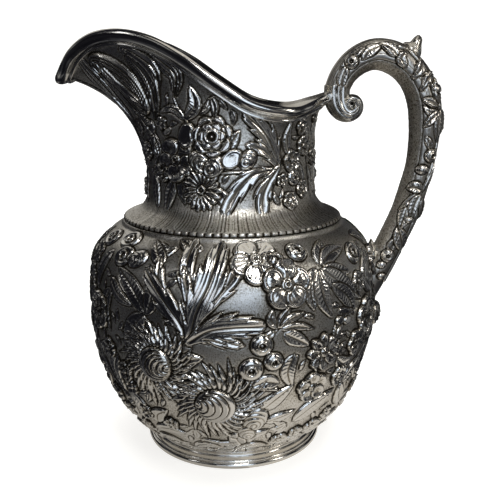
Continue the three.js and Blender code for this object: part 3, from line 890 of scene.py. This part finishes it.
def neck_columns(columns):
    """Each column's turn about the axis and its wall as (radius, height) from the waist to the lip."""
    t = np.linspace(0, 1, 60)[:, None]
    walls = []
    for x, y, z, rise in lip_places(columns):
        turn = math.atan2(y, x)
        spoutward = (1 - math.cos(turn)) / 2
        lower_reach, upper_reach = (
            near + (far - near) * spoutward for near, far in (LOWER_REACH, UPPER_REACH))
        foot = np.array([WAIST_RADIUS - WAIST_SHIFT * math.cos(turn), WAIST_HEIGHT])
        lip = np.array([math.hypot(x, y), z])
        lower = foot + (0, lower_reach * (z - WAIST_HEIGHT))
        upper = lip - upper_reach * np.linalg.norm(lip - foot) * np.array(polar(1, math.radians(rise)))
        curve = (1 - t) ** 3 * foot + 3 * t * (1 - t) ** 2 * lower
        curve += 3 * t ** 2 * (1 - t) * upper + t ** 3 * lip
        walls.append((turn, curve))
    return walls


def swing(profile, turn):
    """A (radius, height) profile stood up at an angle around the axis."""
    return np.stack([profile[:, 0] * math.cos(turn), profile[:, 0] * math.sin(turn), profile[:, 1]], -1)


def neck_piece():
    rows, columns = NECK_GRID
    skirt = spline(SKIRT_OUTLINE, steps=8)[:-1]
    grid = []
    for turn, curve in neck_columns(columns):
        shifted = skirt.copy()
        shifted[:, 0] += (curve[0, 0] - WAIST_RADIUS) * smoothstep(skirt[:, 1], NECK_BENDS, WAIST_HEIGHT)
        wall = np.vstack([shifted, curve])
        length = run_along(wall)[-1]
        grid.append(swing(at_distance(wall, np.linspace(0, length - NECK_STOPS, rows)), turn))
    sheet = upright_sheet(np.stack(grid, 1))
    for side in (1, -1):
        sheet.copy = ((side, 0), (1, 0))
        chase_neck(sheet, side)
    fill_gaps(sheet, (0.3, 0.86), [], NECK_FILLING, seed=9)
    wall, normals = sheet.points, sheet.normals
    angle, height = np.radians(sheet.labels[0]), sheet.labels[1]
    climb = smoothstep(height, *FLUTES_END)
    wave = np.abs(np.sin(angle * FLUTES / 2 + 0.25 * np.sin(angle * 17)))
    fluting = FLUTE_DEPTH * wave ** 0.7 * smoothstep(height, *FLUTES_BEGIN) * (1 - climb)
    notches = NOTCH_DEPTH * bell(np.sin(angle * NOTCHES / 2), NOTCH_SHARPNESS)
    below_lip = 1 - smoothstep(np.linspace(0, 1, rows)[:, None], *CHASING_ENDS)
    chased = (sheet.relief() * climb + fluting - notches * (height < NOTCH_TOP)) * below_lip
    sheet.height = chased.ravel()
    sunk = GROUND_DEPTH * smoothstep(height, *GROUND_SINKS) * below_lip
    raised = wall + normals * (chased - sunk)[..., None]
    keep = np.linspace(rows - 1, 0, NECK_SHELL_ROWS).astype(int)
    inside = wall[keep] - normals[keep] * SHELL
    inside[-1, :, 2] = wall[0, :, 2]
    ground = 1 - climb * (1 - sheet.bare())
    parts = [(raised, patina(sheet), ground), (inside, NECK_DULL, 0.0)]
    return chased_piece("neck_chased", parts, close_rows=True)


def moulding_piece():
    """The moulding's section swept round the lip, laid on the neck's wall all the way."""
    downs = np.arange(0, WALL_REACH, WALL_STEP)
    surface = []
    for turn, curve in neck_columns(LIP_CUTS):
        length = run_along(curve)[-1]
        surface.append(swing(at_distance(curve, length - downs), turn))
    surface = np.stack(surface)
    lip = surface[:, 0]
    around = (np.roll(lip, -1, 0) - np.roll(lip, 1, 0)) * LIP_CUTS / 2
    down = surface[:, round(1 / WALL_STEP)] - lip
    slip = -np.einsum("ij,ij->i", around, down) / np.einsum("ij,ij->i", around, around)
    square = down + around * slip[:, None]
    stretch = 1 / np.linalg.norm(square, axis=1)
    normal = -unit(np.cross(around, down))
    section = resample(spline(MOULDING, closed=True, steps=8), MOULDING_CUTS, closed=True)
    rings = []
    for distance, height in section:
        if distance < 0:
            spot = lip + square * (distance * stretch)[:, None]
        else:
            column = np.arange(LIP_CUTS) + slip * stretch * distance * LIP_CUTS
            spot = on_surface(surface, column, stretch * distance / WALL_STEP)
        rings.append(spot + normal * height)
    return grid_piece("lip_moulding_polished", np.stack(rings, 0), True)


def on_surface(surface, column, row):
    """Points of the neck's wall at fractional columns and rows."""
    count = len(surface)
    row = np.clip(row, 0, surface.shape[1] - 1.001)
    c0, r0 = np.floor(column).astype(int), np.floor(row).astype(int)
    fc, fr = (column - c0)[:, None], (row - r0)[:, None]
    a, b = c0 % count, (c0 + 1) % count
    near = surface[a, r0] * (1 - fr) + surface[a, r0 + 1] * fr
    far = surface[b, r0] * (1 - fr) + surface[b, r0 + 1] * fr
    return near * (1 - fc) + far * fc


# The foot

def turned_piece(name, section, steps=6, columns=256):
    """A ring turned around the axis from a closed section."""
    profile = spline(section, closed=True, steps=steps)
    return grid_piece(name, lathe(profile[:-1], columns), True)


# The handle

def swept(centre, half, wide):
    """Points and outward directions of a tube along a line in the XZ plane. half and wide are its
    sizes in that plane and across it, in a row for each point of the line."""
    along = unit(np.gradient(centre, axis=0))
    outward = np.stack([along[:, 2], np.zeros(len(centre)), -along[:, 0]], -1)[:, None]
    return centre[:, None] + outward * half[..., None] + wide[..., None] * ASIDE, outward


def out_of_body(points):
    """Moves points that lie inside the body's wall out to it."""
    radius = np.hypot(points[..., 0], points[..., 1])
    limit = body_radius(points[..., 2]) - GROUND_DEPTH - BODY_OVERLAP
    grow = np.where(radius < limit, limit / np.maximum(radius, 1e-6), 1)
    return points * np.stack([grow, grow, np.ones_like(grow)], -1)


# Width, style, height and places of the stems and leaves on each side of the handle
HANDLE_BLADES = [
    (1.8, "stem", 1.1, (12, 40), (30, 44), (52, 60), (66, 66)),
    (1.8, "stem", 1.1, (66, 62), (80, 52), (96, 46), (109, 53)),
    (2.2, "stem", 1.4, (109, 50), (117, 62), (126, 60), (140, 42)),
    (1.8, "stem", 1.0, (140, 42), (152, 54), (165, 56), (182, 70)),
    (6, "leaf", 1.5, (28, 98), (33, 92), (40, 88)), (9, "leaf", 2.0, (32, 44), (38, 76), (43, 112)),
    (8, "leaf", 1.9, (58, 108), (50, 104), (42, 98)), (4, "leaf", 1.6, (65, 66), (60, 100), (52, 136)),
    (7, "leaf", 1.9, (66, 69), (67, 100), (65, 134)), (6, "leaf", 1.7, (64, 72), (57, 84), (49, 76)),
    (5, "leaf", 1.5, (62, 50), (56, 34), (50, 20)), (5, "leaf", 1.4, (66, 60), (74, 42), (82, 34)),
    (4, "leaf", 1.5, (95, 100), (91, 82), (87, 70)), (5, "leaf", 1.7, (110, 56), (113, 83), (116, 108)),
    (4, "leaf", 1.7, (108, 58), (108, 88), (112, 108)),
    (5, "leaf", 1.7, (108, 53), (104, 84), (100, 111)), (5, "leaf", 1.5, (108, 46), (101, 58), (92, 50)),
    (5, "leaf", 1.5, (109, 40), (103, 26), (96, 22)), (7, "leaf", 1.7, (111, 48), (117, 44), (124, 30)),
    (8, "acanthus", 1.9, (121, 98), (124, 66), (125, 26)),
    (9, "acanthus", 1.9, (129, 102), (130, 72), (133, 36)),
    (6, "leaf", 1.6, (136, 100), (141, 84), (140, 56)), (7, "leaf", 1.7, (143, 84), (147, 66), (153, 50)),
    (7, "leaf", 1.6, (152, 60), (158, 74), (162, 92)), (6, "leaf", 1.6, (158, 50), (166, 58), (175, 64)),
    (6, "leaf", 1.5, (170, 70), (176, 84), (182, 98)),
]


def chase_handle(sheet):
    """Leaves, buds and small flowers along both sides of the handle."""
    for side in (1, -1):
        sheet.copy = ((1, 0), (side, 0))
        for width, style, peak, *line in HANDLE_BLADES:
            leaf(sheet, line, width, style, peak)
        for where, size, peak in [
            ((77, 92), 3.6, 2.2), ((118, 42), 3.6, 2.2), ((49, 78), 2.6, 2.0),
            ((20, 96), 2.8, 1.6), ((14, 70), 2.6, 1.5),
        ]:
            bud(sheet, where, size, peak=peak, rim=0.2)
        for where, size in [((26, 90), 3.8), ((85, 66), 3.8), ((167, 74), 3.6)]:
            ring_bud(sheet, where, size, 2.0)


def handle_pieces():
    """The outer and inner halves of the handle, chased as one tube and parted at the seam."""
    rows, columns = HANDLE_GRID
    line = resample(spline([(x, depth, z) for x, z, depth in HANDLE]), rows)
    centre, depth = line * (1, 0, 1), line[:, 1:2]
    run = run_along(centre)[:, None]
    turn = np.linspace(-90, 270, columns, endpoint=False)
    cosine, sine = np.cos(np.radians(turn)), np.sin(np.radians(turn))
    tube, outward = swept(centre, depth * cosine, depth * HANDLE_WIDTH_RATIO * sine)
    normals = unit(outward * (cosine * HANDLE_WIDTH_RATIO)[None, :, None] + sine[None, :, None] * ASIDE)
    labels = (np.repeat(run, columns, 1), np.repeat(turn[None], rows, 0))
    sheet = Sheet(tube, normals, labels, (False, True))
    chase_handle(sheet)
    bare = sheet.bare()
    edge = np.abs((turn + 180) % 360 - 180)[None]
    arch = smoothstep(run, *REEDS_BEGIN) * (1 - smoothstep(edge, *REEDS_END))
    seam = smoothstep(edge, SEAM_TURN - SEAM_FADE, SEAM_TURN + SEAM_FADE)
    bark = blur(np.random.default_rng(3).normal(size=sheet.shape), 1)
    shape = sheet.relief() + arch * REED_DEPTH * np.cos(np.radians(edge) * REEDS) * bare
    shape -= SEAM_DEPTH * bell(edge - SEAM_TURN, SEAM_HALF_WIDTH) * bare
    shape += BARK_DEPTH * bark * smoothstep(edge, SEAM_TURN, SEAM_TURN + BARK_FADE)
    sheet.height = shape.ravel()
    dark = patina(sheet) + INSIDE_DULL * seam
    ground = bare * (OUTSIDE_MATTING + (1 - OUTSIDE_MATTING) * seam)
    raised = out_of_body(tube + normals * (shape - HANDLE_SINK)[..., None])
    lining = out_of_body(tube - normals * HANDLE_SHELL)
    pieces = []
    for name, first in (("handle_outside", 0), ("handle_inside", columns // 2)):
        mine = np.arange(first, first + columns // 2 + 1) % columns
        back = mine[np.linspace(len(mine) - 1, 0, HANDLE_SHELL_COLUMNS).astype(int)]
        parts = [(raised[:, mine], dark[:, mine], ground[:, mine]), (lining[:, back], 0.0, 0.0)]
        pieces.append(chased_piece(name, parts, axis=1))
    return pieces


def rolled_piece(name, path, ridge, ridges=12, sides=96, steps=10):
    """A tapering oval rod swept along a path of x, height, half depth and half width, with ridges
    along it whose height is a share of its size."""
    line = spline(path, steps=steps)
    centre = np.stack([line[:, 0], np.zeros(len(line)), line[:, 1]], -1)
    turn = np.linspace(0, 2 * np.pi, sides, endpoint=False)
    swell = 1 + ridge * np.cos(ridges * turn)
    half = line[:, 2:3] * np.cos(turn) * swell
    wide = line[:, 3:4] * np.sign(np.sin(turn)) * np.abs(np.sin(turn)) ** 0.9 * swell
    return grid_piece(name, swept(centre, half, wide)[0])


def leaf_tip(name, outline, half_width, veins=7, rounding=1.5, vein_depth=0.12):
    """A rounded leaf tip from its side outline, thinner towards its top."""
    edge = resample(spline(outline, closed=True), 160, closed=True)
    along = unit(np.roll(edge, -1, 0) - np.roll(edge, 1, 0))
    inward = np.stack([-along[:, 1], along[:, 0]], -1)
    if np.einsum("ij,ij->", inward, edge.mean(0) - edge) < 0:
        inward = -inward
    low, high = edge[:, 1].min(), edge[:, 1].max()
    thin = 1 - 0.6 * smoothstep(edge[:, 1], low + 0.4 * (high - low), high)
    rings = []
    for tilt in np.radians(np.linspace(-88, 88, 25)):
        inset = rounding * (1 - np.cos(tilt)) + vein_depth * np.cos(veins * 2 * tilt)
        flat = edge + inward * inset * thin[:, None]
        rings.append(np.stack([flat[:, 0], half_width * thin * np.sin(tilt), flat[:, 1]], -1))
    return grid_piece(name, np.stack(rings))


# Materials

class Nodes:
    """A node tree and short ways to wire it."""

    def __init__(self, tree):
        self.nodes = tree.nodes
        self.links = tree.links

    def add(self, kind, **settings):
        node = self.nodes.new("ShaderNode" + kind)
        for key, value in settings.items():
            setattr(node, key, value)
        return node

    def feed(self, node, inputs):
        """Sets a node's inputs, or links them where the value is another node's output."""
        for key, value in inputs.items():
            if isinstance(value, bpy.types.NodeSocket):
                self.links.new(value, node.inputs[key])
            else:
                node.inputs[key].default_value = value
        return node

    def math(self, operation, *values):
        node = self.add("Math", operation=operation)
        return self.feed(node, dict(enumerate(values))).outputs["Value"]

    def ramp(self, source, stops):
        """A colour ramp from (position, colour) stops."""
        node = self.add("ValToRGB")
        elements = node.color_ramp.elements
        while len(elements) < len(stops):
            elements.new(0.5)
        for element, (position, colour) in zip(elements, stops):
            element.position = position
            element.color = (*colour, 1) if hasattr(colour, "__len__") else (colour, colour, colour, 1)
        return self.feed(node, {"Fac": source}).outputs["Color"]

    def noise(self, scale, detail, stretch=(1, 1, 1)):
        """Noise in the object's own metres, scale features to the metre."""
        place = self.add("TexCoord").outputs["Object"]
        mapping = self.feed(self.add("Mapping"), {"Scale": stretch, "Vector": place})
        texture = self.add("TexNoise")
        self.feed(texture, {"Scale": scale, "Detail": detail, "Vector": mapping.outputs["Vector"]})
        return texture.outputs["Fac"]


def new_material(name, inputs):
    material = bpy.data.materials.new(name)
    material.use_nodes = True
    tree = Nodes(material.node_tree)
    return material, tree, tree.feed(tree.nodes["Principled BSDF"], inputs)


WORN_TINT = (0.86, 0.84, 0.8)
TARNISH = (0.27, 0.235, 0.18)
SOOT = (0.04, 0.033, 0.025)


def silver(name, bright, gloss, stipple, tarnish=0.35, chased=True):
    """Silver that is dark in its recesses, worn bright on its peaks and matted on its ground."""
    material, tree, shader = new_material(name, {"Metallic": 1.0})
    cloud = tree.noise(60, 5)
    fine = tree.noise(1700, 2)
    drag = tree.noise(900, 2, (1, 1, 0.2))
    if chased:
        depth = tree.add("Attribute", attribute_name="patina").outputs["Fac"]
        ground = tree.add("Attribute", attribute_name="ground").outputs["Fac"]
    else:
        pointiness = tree.add("NewGeometry").outputs["Pointiness"]
        depth = tree.math("MULTIPLY", tree.math("SUBTRACT", 0.52, pointiness), 2.5)
        ground = 0.0
    dirt = tree.math("MULTIPLY_ADD", tree.math("SUBTRACT", cloud, 0.5), tarnish, depth)
    height = tree.math("ADD", fine, drag)
    if chased:
        matting = tree.math("MULTIPLY", tree.math("SUBTRACT", fine, 0.42), 1.3)
        dirt = tree.math("MULTIPLY_ADD", ground, tree.math("MAXIMUM", matting, 0.0), dirt)
        height = tree.math("MULTIPLY", height, tree.math("MULTIPLY_ADD", ground, 0.8, 0.2))
    worn = tuple(shade * tint for shade, tint in zip(bright, WORN_TINT))
    rough = tree.ramp(dirt, [(0.0, gloss), (0.3, gloss + 0.1), (0.7, 0.55)])
    bump = tree.feed(tree.add("Bump"), {"Strength": stipple, "Distance": 0.0004, "Height": height})
    tree.feed(shader, {
        "Base Color": tree.ramp(dirt, [(0.0, bright), (0.16, worn), (0.4, TARNISH), (0.7, SOOT)]),
        "Roughness": tree.math("MULTIPLY_ADD", ground, 0.14, rough),
        "Normal": bump.outputs["Normal"],
    })
    return material


chased_silver = silver("chased_silver", (0.9, 0.88, 0.84), 0.14, 0.35, 0.5)
cast_silver = silver("cast_silver", (0.78, 0.75, 0.7), 0.24, 0.4)
polished_silver = silver("polished_silver", (0.88, 0.86, 0.82), 0.12, 0.05, 0.15, chased=False)
rolled_silver = silver("rolled_silver", (0.72, 0.7, 0.66), 0.2, 0.15, 0.4, chased=False)

# The pieces
handle_outside, handle_inside = handle_pieces()
pieces = [
    (body_piece(), "body_shell", "chased_silver", chased_silver),
    (neck_piece(), "neck_shell", "chased_silver", chased_silver),
    (moulding_piece(), "lip_moulding", "polished_silver", polished_silver),
    (turned_piece("foot_cove_polished", FOOT_COVE), "foot_cove", "polished_silver", polished_silver),
    (turned_piece("foot_wire_polished", FOOT_WIRE), "foot_wire", "polished_silver", polished_silver),
    (handle_outside, "handle_outer_shell", "cast_silver", cast_silver),
    (handle_inside, "handle_inner_shell", "cast_silver", cast_silver),
    (rolled_piece("handle_volute", SCROLL, 0.03), "handle_scroll", "cast_silver", rolled_silver),
    (leaf_tip("thumb_hook", SPUR_OUTLINE, SPUR_HALF_WIDTH), "thumb_spur", "cast_silver", rolled_silver),
    (leaf_tip("root_curl", ROOT_OUTLINE, ROOT_HALF_WIDTH), "handle_root_leaf", "cast_silver", rolled_silver),
]
for piece, node, slot, material in pieces:
    piece.data.materials.clear()
    piece.data.materials.append(material)
    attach(piece, "root")
    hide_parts(node)


# Floor, lights and camera

WHITE = (1.0, 1.0, 1.0)
WARM = (1.0, 0.96, 0.88)
TABLE = (1.0, 0.95, 0.87)
PITCHER_LOW = (0, 0, 0.1)     # what most lamps point at
FLOOR_DROP = -0.0008          # the backdrop lies this much below the floor


def panel(name, corners, material):
    mesh = bpy.data.meshes.new(name)
    mesh.from_pydata(corners, [], [tuple(range(len(corners)))])
    mesh.materials.append(material)
    card = new_object(name, mesh)
    return card


def sweep_backdrop(material):
    """A floor that curves up into a wall behind, which reflections don't see."""
    width, bend, depth, steps = 6.0, 0.8, 2.2, 16
    profile = [(-2.5, FLOOR_DROP), (depth, FLOOR_DROP)]
    for k in range(1, steps + 1):
        angle = math.pi / 2 * k / steps
        profile.append((depth + bend * math.sin(angle), bend * (1 - math.cos(angle)) + FLOOR_DROP))
    profile.append((depth + bend, 4.0))
    verts = [(side * width, y, z) for y, z in profile for side in (-1, 1)]
    faces = [(2 * i, 2 * i + 1, 2 * i + 3, 2 * i + 2) for i in range(len(profile) - 1)]
    mesh = bpy.data.meshes.new("backdrop")
    mesh.from_pydata(verts, [], faces)
    mesh.shade_smooth()
    mesh.materials.append(material)
    backdrop = new_object("backdrop", mesh)
    backdrop.visible_glossy = False


def softbox(name, position, target, size, power, colour=WHITE, glossy=True):
    light = bpy.data.lights.new(name, "AREA")
    light.shape = "RECTANGLE"
    light.size, light.size_y = size
    light.energy = power
    light.color = colour
    lamp = new_object(name, light)
    lamp.location = position
    lamp.rotation_euler = (Vector(target) - Vector(position)).to_track_quat("-Z", "Y").to_euler()
    lamp.visible_camera = False
    lamp.visible_glossy = glossy


def glow(name, colour, strength, base=(0, 0, 0)):
    return new_material(name, {
        "Base Color": (*base, 1), "Emission Color": (*colour, 1), "Emission Strength": strength,
    })


def reflected_card(name, centre, facing, size, colour, strength):
    """A card that only reflections see."""
    middle = Vector(centre)
    turn = (Vector(facing) - middle).to_track_quat("Z", "Y")
    corners = [(x * size[0] / 2, y * size[1] / 2, 0) for x, y in ((-1, -1), (1, -1), (1, 1), (-1, 1))]
    corners = [tuple(middle + turn @ Vector(corner)) for corner in corners]
    made = panel(name, corners, glow(name, colour, strength)[0])
    made.visible_camera = made.visible_diffuse = made.visible_shadow = False


pale, pale_tree, pale_shader = glow("pale_floor", (1.0, 0.99, 0.97), 0.8, (0.4, 0.4, 0.39))
pale_tree.feed(pale_shader, {"Roughness": 0.8})
floor = panel("floor", [(-0.2, -0.17, 0), (0.3, -0.17, 0), (0.3, 0.25, 0), (-0.2, 0.25, 0)], pale)
floor.visible_glossy = False
sweep_backdrop(pale)

softbox("overhead", (0.1, -0.1, 1.5), PITCHER_LOW, (1.2, 1.2), 30, glossy=False)
softbox("back", (-0.3, 0.4, 1.6), (0, 2.6, 0.9), (2.0, 0.5), 60, glossy=False)
softbox("key", (0.2, -0.9, 1.1), PITCHER_LOW, (0.3, 0.3), 3.5)
softbox("side", (1.1, -0.6, 0.75), PITCHER_LOW, (0.2, 0.5), 1.8, (1.0, 0.96, 0.9))
softbox("left", (-1.0, -0.7, 0.8), PITCHER_LOW, (0.12, 0.5), 0.4)
for name, centre, facing, size, colour, strength in [
    ("table", (0.055, 0.065, -0.001), (0.055, 0.065, 1), (0.11, 0.45), TABLE, 0.55),
    ("table_left", (-0.05, 0.065, -0.001), (-0.05, 0.065, 1), (0.1, 0.45), TABLE, 0.34),
    ("ceiling", (0.1, -0.16, 1.2), (0, 0, 0), (0.8, 0.52), WARM, 0.62),
    ("window", (0.28, -1.5, 0.58), (0.28, 0, 0.58), (0.85, 1.2), (0.74, 0.85, 1.0), 1.25),
    ("window_left", (-0.36, -1.5, 0.42), (-0.36, 0, 0.42), (0.36, 0.5), (0.85, 0.9, 1.0), 0.85),
    ("room", (0.9, -1.2, 0.1), PITCHER_LOW, (0.7, 0.4), (1.0, 0.93, 0.82), 0.15),
    ("behind", (-0.4, 0.6, 0.6), (0.03, 0, 0.19), (0.75, 0.6), (1.0, 0.98, 0.93), 0.5),
]:
    reflected_card(name, centre, facing, size, colour, strength)

# What the silver reflects beyond the lamps and cards: a dim room with soft lighter patches, darker
# towards the spout. The camera sees white instead.
world = bpy.data.worlds.new("studio")
bpy.context.scene.world = world
world.use_nodes = True
sky = Nodes(world.node_tree)
direction = sky.add("TexCoord").outputs["Generated"]
patches = sky.feed(sky.add("TexNoise"), {"Scale": 2.6, "Detail": 1.5, "Vector": direction})
split = sky.feed(sky.add("SeparateXYZ"), {"Vector": direction})
leaning = sky.math("MULTIPLY_ADD", split.outputs["X"], 0.05, patches.outputs["Fac"])
room = sky.ramp(leaning, [
    (0.46, (0.005, 0.005, 0.007)), (0.58, (0.035, 0.036, 0.042)), (0.7, (0.3, 0.3, 0.29)),
])
seen = sky.add("LightPath").outputs["Is Camera Ray"]
choose = sky.feed(sky.add("Mix", data_type="RGBA"), {"A": room, "B": (*WHITE, 1), "Factor": seen})
sky.feed(sky.nodes["Background"], {"Color": choose.outputs["Result"]})
bpy.context.scene.view_settings.view_transform = "Standard"

CAMERA_PITCH = 13.72          # degrees below level
CAMERA_PLACE = (AXIS_X + 0.0098, -0.388, 0.2041)
camera_data = bpy.data.cameras.new("camera")
camera_data.lens = 50.4
camera_data.sensor_width = 36
camera = new_object("camera", camera_data)
camera.location = CAMERA_PLACE
camera.rotation_euler = (math.radians(90 - CAMERA_PITCH), 0, 0)
bpy.context.scene.camera = camera
